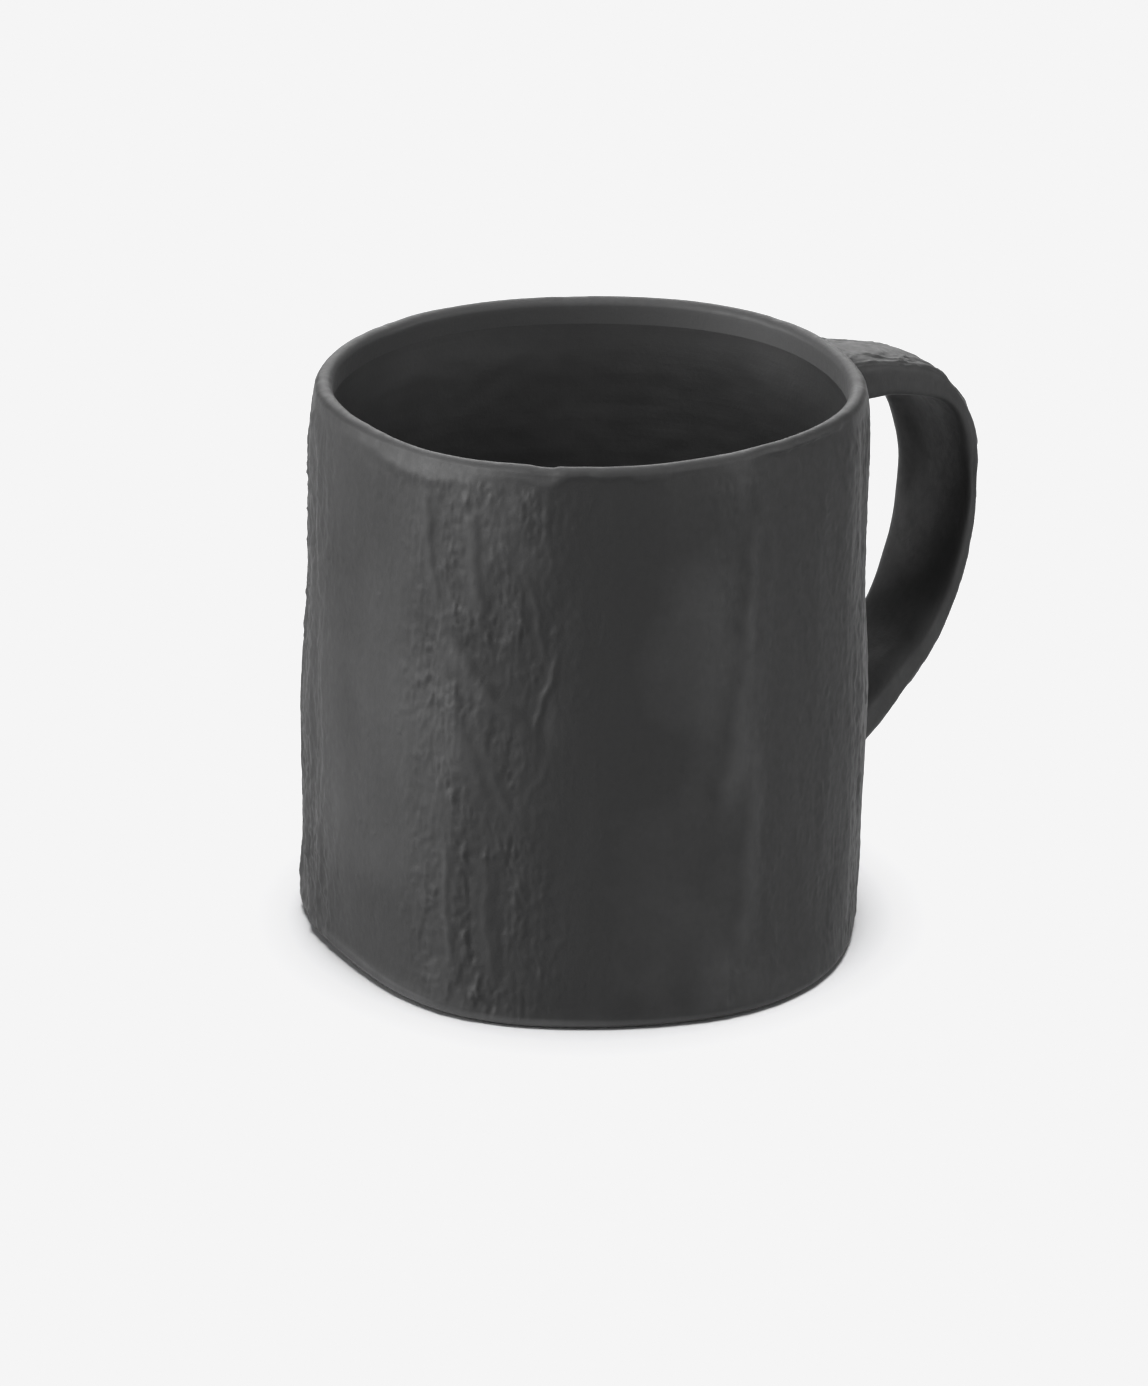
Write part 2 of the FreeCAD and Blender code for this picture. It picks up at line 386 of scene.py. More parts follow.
def clay(name, roughness, grain_mm):
    """Raw charcoal clay: mottled, matte and finely grained, lighter where it is wiped, with painted light on
    what is raised, painted shade in its hollows and painted bounce light at its foot's edge.
    """
    n = Nodes(name)
    relief = n.add("ShaderNodeAttribute", attribute_name="relief").outputs["Fac"]
    # Painted light and shade: raised clay is made lighter and hollows darker, standing in for how the lamps
    # fall across the relief. The noise adds real mottling.
    raised = n.between(relief, 0.0, 1.0, -0.5, 0.7)
    mottle = n.math("ADD", n.math("MULTIPLY", n.noise(90, detail=5.0), 0.4), n.math("MULTIPLY", raised, 0.6))
    colour = n.mix(n.between(mottle, 0.0, 1.0, 0.25, 0.75), grey(CLAY_TONE * 0.5), grey(CLAY_TONE * 1.75))
    wiped = n.add("ShaderNodeAttribute", attribute_name="wiped").outputs["Fac"]
    colour = n.mix(wiped, colour, grey(CLAY_TONE * WIPED_LIGHTER))
    height = n.add("ShaderNodeSeparateXYZ", {0: n.place}).outputs[2]
    # Painted light: the foot's lowest edge is made lighter, standing in for the light that the table bounces
    # up onto it.
    painted_foot_bounce = n.between(height, 1.0, 0.0, FOOT_BOUNCE_FULL_BELOW, FOOT_BOUNCE_GONE_ABOVE)
    n.set(Base_Color=n.mix(painted_foot_bounce, colour, grey(CLAY_TONE * FOOT_BOUNCE_LIGHTER)))
    pores = n.noise(900, detail=2.0, stretch=(1.0, 1.0, 0.8))
    n.set(Roughness=n.between(pores, roughness - 0.05, roughness + 0.05, 0.3, 0.7))
    n.set(Specular_IOR_Level=0.25, Sheen_Weight=0.05, Sheen_Roughness=0.3)
    coarse = n.bump(pores, grain_mm * 1.6)
    n.set(Normal=n.bump(n.noise(2600, detail=3.0, roughness=0.7), grain_mm, under=coarse))
    return n.material


def glaze(name):
    """The wiped, satin inside."""
    n = Nodes(name)
    wipe = n.noise(60, detail=4.0, stretch=(0.3, 0.3, 6.0))
    mottle = n.noise(70, detail=4.0)
    dark, light = GLAZE_TONES
    n.set(Base_Color=n.mix(n.between(mottle, 0.0, 1.0, 0.3, 0.7), grey(dark), grey(light)))
    n.set(Roughness=n.between(wipe, 0.52, 0.66, 0.3, 0.7))
    n.set(Specular_IOR_Level=0.18)
    n.set(Normal=n.bump(n.noise(1500, detail=2.0), 0.03, under=n.bump(wipe, 0.06)))
    return n.material


BARK_CLAY = clay("bark_textured_clay", roughness=0.62, grain_mm=0.022)
SMOOTH_CLAY = clay("smooth_raw_clay", roughness=0.64, grain_mm=0.03)
LUTED_CLAY = clay("luted_clay", roughness=0.62, grain_mm=0.04)
SATIN_GLAZE = glaze("satin_glaze")


# ---------------------------------------------------------------- the wall's relief

# Rough bands from lip to foot: (angle, half width at the lip, half width at the foot, strength).
ROUGH_BANDS = ((-150, 20, 12, 1.0), (150, 12, 14, 0.8), (-178, 10, 10, 0.1), (-93, 9, 8, 0.45),
               (-72, 9, 9, 0.25), (-52, 10, 11, 0.45), (-14, 16, 12, 0.8), (36, 18, 12, 0.7),
               (82, 12, 18, 1.0), (118, 12, 10, 0.7))
# Bands of long upright strands: (angle, half width, strength).
STRAND_BANDS = ((149, 12, 1.0), (-50, 8, 0.5), (-70, 8, 0.2), (0, 14, 0.7), (60, 16, 0.8), (112, 12, 0.9))

# How high the bark's layers stand. Of the tuples, the first is the least, and the others are added where the
# bark is rough and where it is stringy.
STRAND_HEIGHT = 0.75
FACET_HEIGHTS = (0.015, 0.27, 0.0)
TICK_HEIGHTS = (0.01, 0.30, 0.10)
LUMP_HEIGHTS = (0.0, 0.17, 0.05)
GRAIN_HEIGHTS = (0.012, 0.12, 0.03)
PIMPLE_HEIGHT = 0.11

# How much of the bark a fold wipes out, how far below the lip the bark starts and is full, how much of all the
# relief is left at the foot's edge, and the height where it is full again.
BARK_WIPED_BY_FOLDS = 0.75
BARK_STARTS_BELOW_LIP = (2.2, 3.8)
RELIEF_AT_FOOT = 0.4
RELIEF_FULL_ABOVE = 4.0

# Soft upright corners where the slab was bent: (angle at the lip, angle at the foot, size, spread).
CORNERS = ((-134, -138, 0.40, 6), (-92, -96, 0.25, 7), (-172, -168, 0.15, 9), (152, 152, 0.35, 9),
           (-44, -46, 0.3, 9), (4, 2, 0.35, 10), (52, 56, 0.3, 9), (103, 100, 0.4, 9))

# The front's ridge, which turns aside between two heights, and the face pressed flat on its right, given as
# (degrees from the ridge, height of the clay).
RIDGE_ANGLE = -156
RIDGE_TURNS_ASIDE = 9
RIDGE_TURNS_BETWEEN = (58, 80)
PRESSED_FACE = ((-30, 0.0), (-16, 0.1), (0.5, 0.1), (4, -0.28), (20, -0.8), (44, 0.0))

# The face flattened on the right of the front.
FLANK_ANGLE = -76
FLANK_HALF_WIDTH = 17
FLANK_DEPTH = 1.0

# Hollows and swellings of the foot: (angle, half width, height where it starts to fade and is gone, size).
FOOT_SHAPES = ((171, 22, 4, 22, -1.1), (-76, 13, 3, 16, 0.35), (-44, 12, 3, 16, -0.5))

# Where the foot is rounded more: (angle, half width, millimetres more).
SOFTER_FOOT = ((163, 28, 1.8), (-38, 10, 2.2))

# The lip: its slow rise and fall, how much further down it is wiped, and how much it is smeared with slip,
# each as (angle, half width, size).
LIP_WAVES = ((-168, 16, -0.40), (-128, 18, 0.22), (-80, 14, -0.12))
LIP_WIPES = ((-167, 18, 2.8), (-134.5, 3.5, 1.0))
LIP_SMEARS = ((-167, 19, 0.9), (-134.5, 4, 0.15))
LEAST_WIPED = 1.5

# Folds pressed in by hand: (angle, height) at each end, depth, half width, and height of the raised edge.
FOLDS = (
    ((-156, 64), (-133.8, 48.5), 0.38, 1.5, 0.30),
    ((-133.2, 63), (-137.8, 48.5), -0.28, 0.5, 0.0),
    ((-149.9, 48), (-139.8, 31.5), -0.22, 0.9, 0.0),
    ((-153.0, 50), (-144.0, 36), 0.16, 1.1, 0.08),
    ((-134.0, 47), (-141.0, 35), -0.08, 0.6, 0.0),
    ((-155.8, 30), (-154.8, 8), 0.10, 0.6, 0.16),
    ((-148.5, 28), (-147.0, 6), -0.16, 0.7, 0.0),
    ((-145.5, 29), (-144.5, 6), 0.10, 0.7, 0.06),
    ((-162.0, 86), (-158.0, 66), 0.20, 0.8, 0.20),
    ((-150.0, 84), (-147.0, 66), 0.22, 0.9, 0.20),
    ((-139.0, 74), (-134.5, 60), -0.20, 0.6, 0.0),
    ((-102, 34), (-95.5, 60), 0.26, 1.3, 0.26),
    ((-95.5, 60), (-91.5, 86), 0.30, 1.2, 0.30),
    ((-92.5, 49), (-88.0, 80), 0.16, 1.0, 0.16),
    ((-98, 10), (-95, 38), 0.20, 1.2, 0.20),
    ((-12, 70), (4, 38), 0.40, 1.2, 0.35),
    ((62, 74), (50, 46), 0.45, 1.2, 0.35),
    ((96, 60), (108, 28), 0.40, 1.1, 0.30),
    ((140, 50), (146, 22), 0.40, 1.1, 0.30),
)


def fold_relief(angle, z, start, end, depth, half_width, raised):
    """A groove between two points of the wall, with one edge pushed up, and how far it wipes out the bark."""
    to_mm = math.radians(1) * WALL_RADIUS
    along_x, along_z = angle_from(end[0], start[0]) * to_mm, end[1] - start[1]
    length = math.hypot(along_x, along_z)
    x, y = angle_from(angle, start[0]) * to_mm, z - start[1]
    along = (x * along_x + y * along_z) / length
    across = (x * along_z - y * along_x) / length
    across = across + 0.35 * np.sin(along * 0.45) + 0.15 * np.sin(along * 1.3 + 1)
    fade = smooth(along, -2.0, 4.0) * smooth(length - along, -2.0, 5.0)
    wide = np.where(across < 0, 1.9, 1.0) * half_width if raised else half_width
    relief = -depth * bump(across, 0, wide) + raised * bump(across, 1.8 * half_width, 1.3 * half_width)
    return fade * relief, fade * bump(across, 0.8 * half_width, 2.6 * half_width)


def wall_cells(angle, z, width, height, seed, sway=0.0, kind=hills, **settings):
    """Random relief on the wall in cells of this width and height, shifted sideways by sway."""
    around_mm = 2 * np.pi * WALL_RADIUS
    around = round(around_mm / width)
    arc = np.radians(angle % 360) * WALL_RADIUS
    return kind(seed, arc / around_mm * around + sway / width, z / height, around, **settings)


def bark_bands(angle, z, drift):
    """How rough and how stringy the bark is at each place, from 0 to 1."""
    rough, stringy = 0.0, 0.0
    for middle, at_lip, at_foot, strength in ROUGH_BANDS:
        half_width = at_foot + (at_lip - at_foot) * z / HEIGHT
        off = angle_from(angle, middle) + 5 * drift
        rough = np.maximum(rough, strength * np.exp(-np.abs(off / half_width) ** 3))
    for middle, half_width, strength in STRAND_BANDS:
        stringy = np.maximum(stringy, strength * bump(angle_from(angle, middle) + 4 * drift, 0, half_width))
    patches = smooth(wall_cells(angle, z, 6, 10, 4), -0.5, 0.4)
    return rough * (0.5 + 0.5 * patches), stringy


def bark_relief(angle, z, drift):
    """The bark's imprint: strands, facets, ticks, lumps, grain and a few pimples."""

    def cells(*sizes_and_seed, **settings):
        return wall_cells(angle, z, *sizes_and_seed, **settings)

    sway = 1.0 * cells(11, 22, 2) + 0.3 * cells(4, 9, 3)
    rough, stringy = bark_bands(angle, z, drift)
    strands = crests(cells(9, 40, 5, 1.5 * sway), 2.6) + 0.45 * crests(cells(4, 22, 6, 1.5 * sway), 3.5)
    facets = cells(2.6, 8, 7, sway, plates, softness=0.06)
    ticks = crests(cells(1.5, 4.5, 8, sway), 4.0) * smooth(cells(2.4, 3.4, 15), 0.1, 0.6)
    ticks = ticks + 0.6 * crests(cells(1.0, 2.6, 18, sway), 4.0) * smooth(cells(1.8, 2.6, 19), 0.0, 0.5)
    lumps = smooth(cells(1.3, 2.2, 16, sway), 0.15, 0.85)
    grain = cells(0.9, 1.8, 9, sway)
    pimples = smooth(cells(1.0, 0.9, 14), 0.62, 0.95)

    def amount(least, where_rough, where_stringy):
        return least + where_rough * rough + where_stringy * stringy

    bark = STRAND_HEIGHT * stringy * (strands - 0.8)
    bark = bark + amount(*FACET_HEIGHTS) * facets + amount(*TICK_HEIGHTS) * ticks
    bark = bark + amount(*LUMP_HEIGHTS) * lumps + amount(*GRAIN_HEIGHTS) * grain
    return bark + PIMPLE_HEIGHT * pimples


def slab_shape(angle, z, drift):
    """The slow shape of the bent slab: its hills, corners and pressed faces, and the shapes of the foot."""
    shape = 0.30 * wall_cells(angle, z, 17, 30, 10) + 0.12 * wall_cells(angle, z, 6, 22, 11)
    for at_lip, at_foot, size, spread in CORNERS:
        off = angle_from(angle, at_foot + (at_lip - at_foot) * smooth(z, 10, 50)) + 1.5 * drift
        shape = shape + size * (np.exp(-(np.sqrt(off ** 2 + 1) - 1) / spread) - 0.1)
    ridge = RIDGE_ANGLE + RIDGE_TURNS_ASIDE * smooth(z, *RIDGE_TURNS_BETWEEN) + 1.5 * drift
    shape = shape + np.interp(angle_from(angle, ridge), *zip(*PRESSED_FACE))
    across_flank = (angle_from(angle, FLANK_ANGLE) + 1.5 * drift) / FLANK_HALF_WIDTH
    shape = shape - FLANK_DEPTH * np.clip(1 - across_flank ** 2, 0, 1) * (0.1 + 0.9 * smooth(z, 2, 16))
    for middle, half_width, fades_from, gone_at, size in FOOT_SHAPES:
        fade = 1 - smooth(z, fades_from, gone_at)
        shape = shape + size * fade * bump(angle_from(angle, middle), 0, half_width)
    return shape


def wall_relief(angle, z):
    """How far the pressed clay stands out from the smooth wall, and how much it was wiped, from 0 to 1."""
    drift = wall_cells(angle, z, 22, 30, 1)
    bark = bark_relief(angle, z, drift)
    shape = slab_shape(angle, z, drift)
    folds = 0.0
    for fold in FOLDS:
        fold_shape, wiped_out = fold_relief(angle, z, *fold)
        folds = folds + fold_shape
        bark = bark * (1 - BARK_WIPED_BY_FOLDS * wiped_out)

    width = LEAST_WIPED + bumps(angle, LIP_WIPES)
    wipe_edge = HEIGHT - width + 0.9 * wall_cells(angle, z, 9, 40, 12) + 0.5 * wall_cells(angle, z, 3, 12, 13)
    below = 1 - smooth(z, wipe_edge - 0.4, wipe_edge + 0.8)
    bark = bark * below * smooth(HEIGHT - z, *BARK_STARTS_BELOW_LIP)
    relief = shape * (0.3 + 0.7 * below) + bark + below * folds
    relief = relief + 0.04 * width * bump(z, wipe_edge - 0.2, 0.9)
    relief = relief - 0.42 * (width - 1.1) * smooth(z, wipe_edge - 0.3, HEIGHT + 1.2) ** 1.2
    smeared = bumps(angle, LIP_SMEARS) * (1 - below) * (0.75 + 0.4 * wall_cells(angle, z, 5, 30, 17))
    foot_share = RELIEF_AT_FOOT + (1 - RELIEF_AT_FOOT) * smooth(z, 0.0, RELIEF_FULL_ABOVE)
    return relief * foot_share, smeared


def lip_wave(angle):
    """The slow rise and fall of a hand-wiped lip."""
    return bumps(angle, LIP_WAVES) + 0.08 * np.sin(np.radians(4 * angle - 70))


def lip_rows(degrees, z, relief):
    """Radii and heights of the rounded lip, which starts at the slope of the wall's last rows below it."""
    top = z[-1:]
    lip_edge = outside.radius(degrees, top) + relief[-1:]
    lip_width = lip_edge - inside.radius(degrees, top)
    slope = (relief[-4:-3] - relief[-1:]) / (z[-1:] - z[-4:-3])
    start = np.arctan(np.clip(slope, 0, 1) * 2 * LIP_RISE / lip_width)
    turn = start + (np.pi - start) * np.linspace(0.06, 1, LIP_ROWS)[:, None]
    half_width = lip_width / (1 + np.cos(start))
    radius = lip_edge + half_width * (np.cos(turn) - np.cos(start))
    return radius, top + LIP_RISE * (np.sin(turn) - np.sin(start))


def make_wall():
    """The wall as one closed skin: up the outside, over the lip, down the inside and under the foot."""
    degrees = np.arange(WALL_COLUMNS)[None, :] * 360 / WALL_COLUMNS
    rounding = FOOT_ROUNDING + bumps(degrees, SOFTER_FOOT)
    top = HEIGHT - LIP_RISE + lip_wave(degrees)
    z = rounding + (top - rounding) * np.linspace(0, 1, OUTSIDE_ROWS)[:, None]
    relief, wiped = wall_relief(degrees + 0 * z, z)
    rows = [lathe(outside.radius(degrees, z) + relief, z, degrees)]

    lip, lip_z = lip_rows(degrees, z, relief)
    rows.append(lathe(lip, lip_z, degrees))

    inner_foot = 1.0
    share = np.linspace(0, 1, INSIDE_ROWS + 1)[1:, None]
    inner_z = lip_z[-1:] + (inner_foot - lip_z[-1:]) * share ** 1.5
    rows.append(lathe(inside.radius(degrees, inner_z), inner_z, degrees))

    inner_edge = inside.radius(degrees, FOOT_CHAMFER)
    outer_edge = outside.radius(degrees, rounding) - rounding
    on_the_table = np.zeros_like(outer_edge)
    rows.append(lathe(inner_edge + FOOT_CHAMFER, on_the_table, degrees))
    rows.append(lathe(outer_edge * 0.5 + inner_edge * 0.5, on_the_table, degrees))
    turn = np.radians(np.arange(-90, 0, 10))[:, None]
    foot_relief = relief[:1] * (1 + np.sin(turn))
    foot = outer_edge + (rounding + foot_relief) * np.cos(turn)
    rows.append(lathe(foot, rounding + rounding * np.sin(turn), degrees))

    grid = np.concatenate(rows)
    after_outside = np.arange(len(grid) - OUTSIDE_ROWS)[:, None]
    plain = np.zeros((len(after_outside), WALL_COLUMNS))
    over_lip = smooth(after_outside, 5, 16) * (after_outside <= LIP_ROWS + INSIDE_ROWS)
    layers = {"relief": np.concatenate([relief, plain]),
              "wiped": np.concatenate([wiped, plain + over_lip + wiped[-1:] * (1 - over_lip)])}
    wall = mesh_object("wall", grid, ring_faces(len(grid), WALL_COLUMNS, True), **layers)
    return claim(wall, ["wall_slab"], BARK_CLAY)


# ---------------------------------------------------------------- floor slab and lining

def make_base():
    """The floor slab, with a softened edge where it meets the wall under the foot."""
    degrees = np.arange(BASE_COLUMNS)[None, :] * 360 / BASE_COLUMNS
    rim = inside.radius(degrees, FOOT_CHAMFER)
    # (share of the way out to the wall, height), from the middle of the underside to the middle of the top.
    profile = ((0.02, 0.12), (0.35, 0.10), (0.7, 0.05), (0.94, 0.0), (0.985, 0.0), (0.998, 0.45), (1.0, 1.2),
               (1.0, FLOOR_TOP), (0.7, FLOOR_TOP), (0.35, FLOOR_TOP), (0.02, FLOOR_TOP))
    grid = np.concatenate([lathe(rim * share, z, degrees) for share, z in profile])
    base = capped_tube("base", grid)
    return claim(base, ["base_slab"], SMOOTH_CLAY)


def make_lining():
    """The glazed inside: wall, rounded corner and floor, closed behind where it meets the clay."""
    degrees = np.arange(LINING_COLUMNS)[None, :] * 360 / LINING_COLUMNS
    low = FLOOR_TOP + GLAZE_THICKNESS + CORNER_RADIUS
    corner = inside.radius(degrees, low) - GLAZE_THICKNESS - CORNER_RADIUS
    level = 0 * corner
    behind = 0.25
    rows = []
    for share in (0.02, 0.3, 0.7, 1.0):
        rows.append(lathe((corner + CORNER_RADIUS) * share, FLOOR_TOP - 0.1 + level, degrees))
    for z in np.linspace(low, GLAZE_TOP, 12):
        rows.append(lathe(inside.radius(degrees, z) + behind, z + level, degrees))

    z = GLAZE_TOP + (low - GLAZE_TOP) * np.linspace(0, 1, LINING_ROWS)[:, None]
    from_top = GLAZE_TOP - z
    thickness = GLAZE_THICKNESS * smooth(from_top, 0, GLAZE_FEATHER) - 0.03
    around = 50
    wiped = 0.10 * hills(31, degrees / 360 * around, z / 2.6, around) * smooth(from_top, 2, GLAZE_FEATHER)
    rows.append(lathe(inside.radius(degrees, z) - thickness + wiped, z, degrees))

    turn = np.radians(np.arange(8, 91, 8))[:, None]
    rows.append(lathe(corner + CORNER_RADIUS * np.cos(turn), low - CORNER_RADIUS * np.sin(turn), degrees))
    floor_z = FLOOR_TOP + GLAZE_THICKNESS
    sag = 0.25
    for share in (0.97, 0.9, 0.8, 0.65, 0.5, 0.35, 0.2, 0.08, 0.02):
        rows.append(lathe(corner * share, floor_z - sag * (1 - share ** 2) + level, degrees))
    lining = capped_tube("lining", np.concatenate(rows))
    return claim(lining, ["liner_glaze"], SATIN_GLAZE)


# ---------------------------------------------------------------- handle

def path_points(path, t):
    """Points a share t of the way along a smooth curve through the path's points."""
    path = np.array(path)
    spans = len(path) - 1
    t = np.asarray(t, float)
    span = np.minimum((t * spans).astype(int), spans - 1)
    u = (t * spans - span)[..., None]
    a, b = path[np.maximum(span - 1, 0)], path[span]
    c, d = path[span + 1], path[np.minimum(span + 2, spans)]
    square, cube = 2 * a - 5 * b + 4 * c - d, 3 * b - a - 3 * c + d
    return 0.5 * (2 * b + (c - a) * u + square * u ** 2 + cube * u ** 3)


class Strap:
    """The handle's strap: its length, where it leaves the wall at each end, and the points of its skin."""

    def __init__(self):
        self.shares = np.linspace(0, 1, 1500)
        middle = (path_points(STRAP_INNER, self.shares) + path_points(STRAP_OUTER, self.shares)) / 2
        steps = np.hypot(*np.diff(middle, axis=0).T)
        self.lengths = np.concatenate([[0], np.cumsum(steps)])
        clear = np.flatnonzero(middle[:, 0] > outside.radius(0.0, middle[:, 1]))
        self.root, self.end = self.lengths[clear[0]], self.lengths[clear[-1]]

    def share(self, length):
        """How far along the side outline a length along the strap is, from 0 to 1."""
        return np.interp(length, self.lengths, self.shares)

    def surface(self, length, turn, grow=0.0, relief=0.0):
        """Points of the skin at a length along the strap and a turn round it, in radians: pi / 2 is its
        outer face. The skin moves out by grow all round, and by relief."""
        t = self.share(length)
        inner, outer = path_points(STRAP_INNER, t), path_points(STRAP_OUTER, t)
        across = outer - inner
        thickness = np.linalg.norm(across, axis=-1)
        unit = across / thickness[..., None]
        inner_power = 2 / np.interp(t, *zip(*STRAP_INNER_SQUARENESS))
        power = np.where(np.sin(turn) > 0, 2 / STRAP_SQUARENESS, inner_power)
        side = np.sign(np.cos(turn)) * np.abs(np.cos(turn)) ** power
        out = np.sign(np.sin(turn)) * np.abs(np.sin(turn)) ** power
        width = np.interp(t, *zip(*STRAP_WIDTHS))
        swell = (np.interp(t, *zip(*STRAP_SWELLS)) + STRAP_FACET) * np.maximum(side, 0) ** 2
        swell = swell - STRAP_FACET * smooth(side, 0.72, 1.0)
        depth = (thickness / 2 + grow) * out + STRAP_CROWN * (1 - side ** 2) * np.maximum(out, 0)
        depth = depth - swell * np.maximum(-out, 0) + relief * out
        middle = (inner + outer) / 2
        x = middle[..., 0] + unit[..., 0] * depth
        y = (width / 2 + grow + relief * (1 - np.abs(out))) * side
        z = middle[..., 1] + unit[..., 1] * depth
        return np.stack(np.broadcast_arrays(x, y, z), -1)


strap = Strap()


def even_turns(columns):
    """Turns round the strap's section that space the points evenly along its skin."""
    fine = np.linspace(0, 2 * np.pi, 4000)
    power = 2 / STRAP_SQUARENESS
    y = STRAP_HALF_WIDTH * np.sign(np.cos(fine)) * np.abs(np.cos(fine)) ** power
    z = STRAP_HALF_THICKNESS * np.sign(np.sin(fine)) * np.abs(np.sin(fine)) ** power
    run = np.concatenate([[0], np.cumsum(np.hypot(np.diff(y), np.diff(z)))])
    return np.interp(np.arange(columns) / columns * run[-1], run, fine)


def strap_relief(length, turn):
    """Bark on the outer face, which runs along the strap, and faint hand marks elsewhere."""
    out = np.sin(turn)
    outer_face = smooth(out, 0.05, 0.75)
    u = turn / (2 * np.pi) * 24
    sway = 0.6 * hills(41, u / 3, length / 9, 8)
    strands = crests(hills(42, u + sway, length / 9, 24), 6.0)
    lumps = smooth(hills(43, u * 1.5 + sway, length / 3.2, 36), 0.1, 0.9)
    fine = hills(44, u * 3, length / 1.6, 72)
    facets = 0.32 * hills(45, u / 4, length / 9, 6)
    bark = 0.24 * (strands - 0.4) + 0.32 * lumps + 0.10 * fine
    return outer_face * bark + 0.05 * (1 - outer_face) * hills(46, u, length / 5, 24) + facets


def make_strap():
    """The pulled strap, with its ends just inside the wall and its bark fading out before the luted clay."""
    length = np.linspace(strap.root - STRAP_BURIED, strap.end + STRAP_BURIED, STRAP_ROWS)[:, None]
    length, turn = np.broadcast_arrays(length, even_turns(STRAP_COLUMNS)[None, :])
    clear = np.minimum(length - strap.root, strap.end - length)
    relief = strap_relief(length, turn) * smooth(clear, 3.0, 6.5)
    piece = capped_tube("handle", strap.surface(length, turn, relief=relief), relief=relief)
    return claim(piece, ["handle_strap"], BARK_CLAY)


def onto_wall(points, sunk):
    """The same angles and heights, on the wall's face or sunk into it."""
    degrees = np.degrees(np.arctan2(points[..., 1], points[..., 0]))
    z = points[..., 2]
    return lathe(outside.radius(degrees, z) - sunk, z, degrees)


def make_joint(name, node, upper):
    """Luted clay round one root of the strap: a hollow fillet from the wall's face to the strap's skin."""
    turn = even_turns(JOINT_COLUMNS)[None, :]
    root, outward = (strap.root, 1) if upper else (strap.end, -1)

    def ring(distance, grow):
        """A ring of points round the strap, this far out from its root."""
        return strap.surface(np.full_like(turn, root + outward * distance), turn, grow=grow)

    wide = ring(-0.5, JOINT_SPREAD)
    on_strap = ring(JOINT_REACH, -0.12)
    corner = onto_wall(ring(0.0, 0.25), -0.35)
    on_wall = onto_wall(wide, 0.25)
    t = np.linspace(0, 1, JOINT_STEPS)[:, None, None]
    blend = (1 - t) ** 2 * on_strap + 2 * t * (1 - t) * corner + t ** 2 * on_wall
    across, along = turn / (2 * np.pi) * 18 + 0 * t[..., 0], 4 * t[..., 0] + 0 * turn
    finger_marks = 0.12 * hills(51 if upper else 52, across, along, 18) * np.sin(np.pi * t[..., 0])
    away = blend - blend.mean(axis=(0, 1))
    away = away / np.linalg.norm(away, axis=-1, keepdims=True)
    blend = blend + away * finger_marks[..., None]

    inner_wall = onto_wall(ring(-1.5, -JOINT_INSIDE_STRAP), JOINT_BURIED)
    inner_strap = ring(JOINT_REACH * 0.8, -JOINT_INSIDE_STRAP)
    grid = np.concatenate([blend, onto_wall(wide, JOINT_BURIED), inner_wall, inner_strap])
    piece = mesh_object(name, grid, ring_faces(len(grid), JOINT_COLUMNS, True))
    return claim(piece, [node], LUTED_CLAY)


# ---------------------------------------------------------------- studio

def link_group(name, objects, state):
    """A collection that ties a lamp to these objects only (INCLUDE) or to everything but them (EXCLUDE)."""
    group = bpy.data.collections.new(name)
    for place, obj in enumerate(objects):
        group.objects.link(obj)
        group.collection_objects[place].light_linking.link_state = state
    return group


def add_softbox(name, bearing, height, strength, spread, receivers, blockers=None):
    """A broad, far softbox that lights only its receivers. Its blockers shade it, or else everything does."""
    light = bpy.data.lights.new(name, "SUN")
    light.energy = strength
    light.angle = math.radians(spread)
    lamp = bpy.data.objects.new(name, light)
    bpy.context.collection.objects.link(lamp)
    turn, height = math.radians(bearing + CAMERA_AZIMUTH), math.radians(height)
    towards = Vector((math.cos(turn) * math.cos(height), math.sin(turn) * math.cos(height), math.sin(height)))
    lamp.rotation_mode = "QUATERNION"
    lamp.rotation_quaternion = towards.to_track_quat("Z", "Y")
    lamp.light_linking.receiver_collection = receivers
    lamp.light_linking.blocker_collection = blockers


def stage_object(name, corners, faces, glow):
    """A sheet of pale paper for the studio, or a black one that glows."""
    mesh = bpy.data.meshes.new(name)
    mesh.from_pydata(corners, [], faces)
    sheet = bpy.data.objects.new(name, mesh)
    bpy.context.collection.objects.link(sheet)
    paper = bpy.data.materials.new(name + "_paper")
    paper.use_nodes = True
    shader = paper.node_tree.nodes["Principled BSDF"]
    shader.inputs["Base Color"].default_value = grey(0.0 if glow else PAPER_TONE)
    shader.inputs["Roughness"].default_value = 1.0
    shader.inputs["Specular IOR Level"].default_value = 0.0
    shader.inputs["Emission Color"].default_value = grey(1.0)
    shader.inputs["Emission Strength"].default_value = glow
    mesh.materials.append(paper)
    return sheet


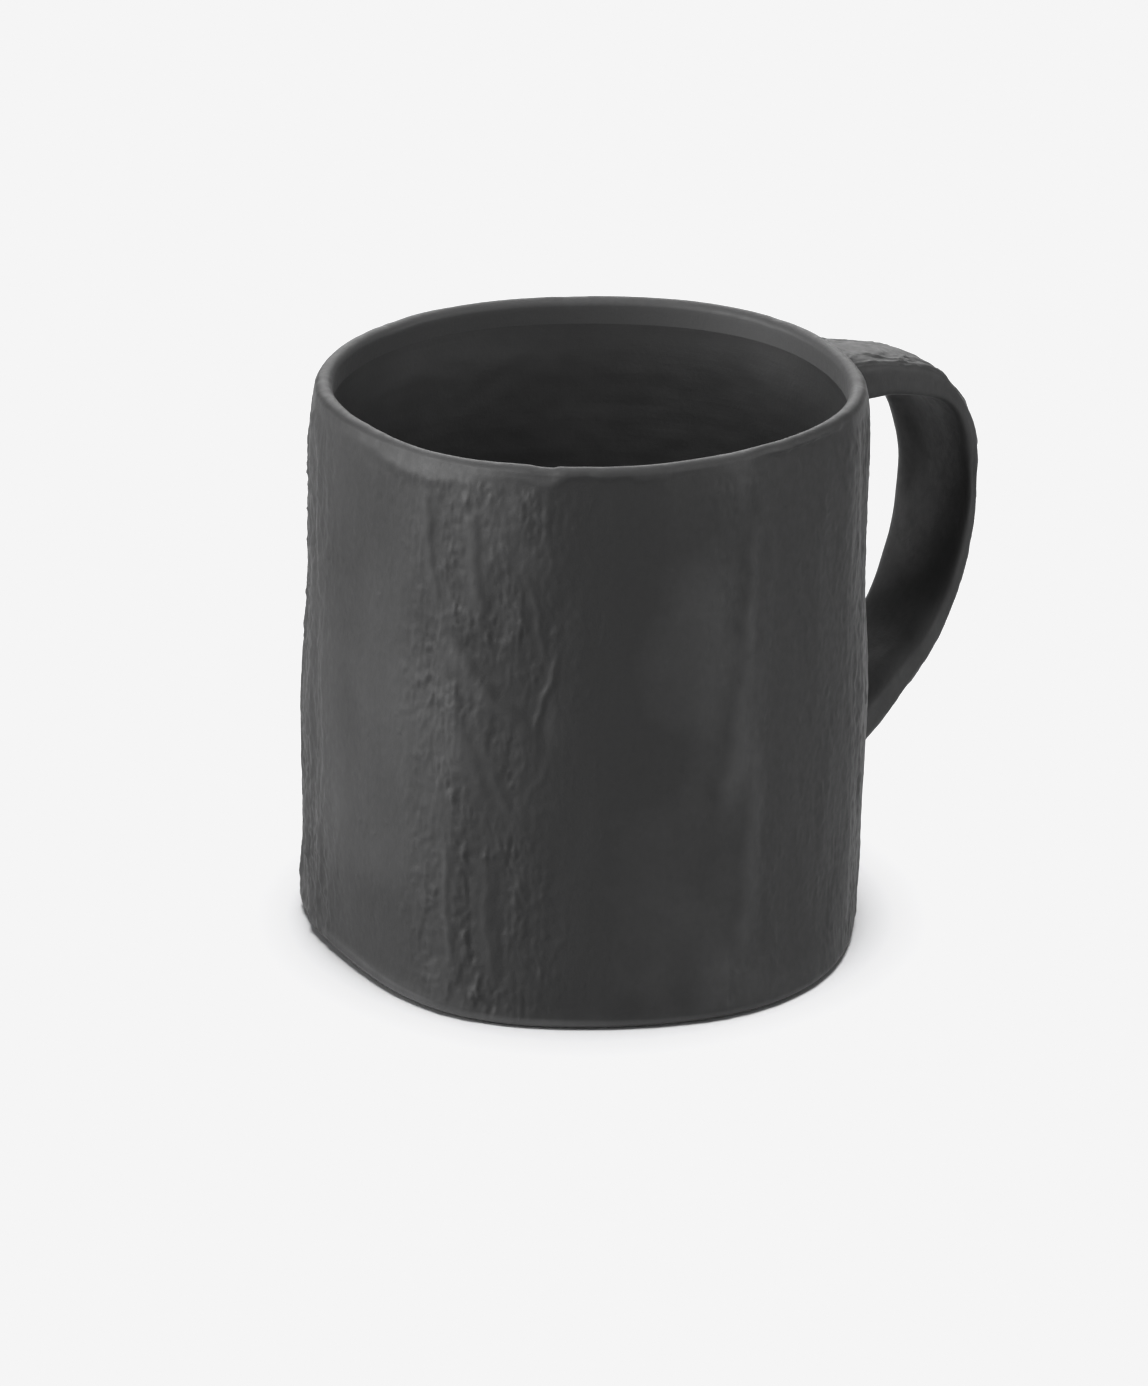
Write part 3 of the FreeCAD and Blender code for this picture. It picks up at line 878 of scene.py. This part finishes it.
def make_studio(lining, handle):
    """A pale table in a ring of white that only the camera sees, under soft lamps and a faint even sky."""
    side = TABLE_HALF_SIDE
    square = [(-side, -side, 0), (side, -side, 0), (side, side, 0), (-side, side, 0)]
    table = stage_object("table", square, [(0, 1, 2, 3)], 0.0)
    turns = [2 * math.pi * i / BACKDROP_SIDES for i in range(BACKDROP_SIDES)]
    ring = [(BACKDROP_RADIUS * math.cos(t), BACKDROP_RADIUS * math.sin(t), z)
            for z in (BACKDROP_FOOT, BACKDROP_TOP) for t in turns]
    after = [(i + 1) % BACKDROP_SIDES for i in range(BACKDROP_SIDES)]
    walls = [(i, after[i], BACKDROP_SIDES + after[i], BACKDROP_SIDES + i) for i in range(BACKDROP_SIDES)]
    backdrop = stage_object("backdrop", ring, walls, BACKDROP_GLOW)
    for kind in ("diffuse", "glossy", "transmission", "shadow"):
        setattr(backdrop, "visible_" + kind, False)

    world = bpy.data.worlds.new("studio")
    bpy.context.scene.world = world
    world.use_nodes = True
    sky = world.node_tree.nodes["Background"]
    sky.inputs["Color"].default_value = (1, 1, 1, 1)
    sky.inputs["Strength"].default_value = SKY_LIGHT

    mug_only = link_group("all_but_the_table", [table], "EXCLUDE")
    outside_only = link_group("all_but_table_and_lining", [table, lining], "EXCLUDE")
    lining_only = link_group("lining_only", [lining], "INCLUDE")
    table_only = link_group("table_only", [table], "INCLUDE")
    for softbox in SOFTBOXES:
        add_softbox(*softbox, outside_only if softbox[0] == LAMP_OFF_THE_LINING else mug_only)
    add_softbox(*LINING_LAMP, lining_only)
    add_softbox(*TABLE_LAMP, table_only, link_group("all_but_handle", handle, "EXCLUDE"))


def make_camera():
    """The camera, turned about its pivot and then aimed a little to the left of it and below it."""
    azimuth, elevation = math.radians(CAMERA_AZIMUTH), math.radians(CAMERA_ELEVATION)
    back = Vector((math.sin(azimuth) * math.cos(elevation), -math.cos(azimuth) * math.cos(elevation),
                   math.sin(elevation)))
    right = Vector((math.cos(azimuth), math.sin(azimuth), 0))
    up = back.cross(right)
    pivot = Vector((0, 0, CAMERA_PIVOT_HEIGHT))
    target = pivot - right * AIM_LEFT - up * AIM_BELOW
    data = bpy.data.cameras.new("camera")
    data.lens = CAMERA_LENS
    data.sensor_width = SENSOR_LONG_SIDE
    camera = bpy.data.objects.new("camera", data)
    bpy.context.collection.objects.link(camera)
    camera.location = pivot + back * CAMERA_DISTANCE
    camera.rotation_mode = "QUATERNION"
    camera.rotation_quaternion = (camera.location - target).to_track_quat("Z", "Y")
    bpy.context.scene.camera = camera


def set_tones():
    """Plain tones, with the overlit table held at a pale grey just short of white."""
    settings = bpy.context.scene.view_settings
    settings.view_transform = "Standard"
    settings.look = "None"
    settings.use_curve_mapping = True
    mapping = settings.curve_mapping
    mapping.extend = "HORIZONTAL"
    curve = mapping.curves[3]
    curve.points[0].location = (0, 0)
    curve.points[1].location = (1.0, PAPER_WHITE)
    curve.points.new(TONE_KNEE, TONE_KNEE)
    for point in curve.points:
        point.handle_type = "VECTOR"
    mapping.update()


make_wall()
make_base()
lining = make_lining()
handle = [make_strap(), make_joint("upper_joint", "handle_upper_joint", True),
          make_joint("lower_joint", "handle_lower_joint", False)]
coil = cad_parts["base_joint_coil"]
coil.data.materials.clear()
coil.data.materials.append(SMOOTH_CLAY)
make_studio(lining, handle)
make_camera()
set_tones()
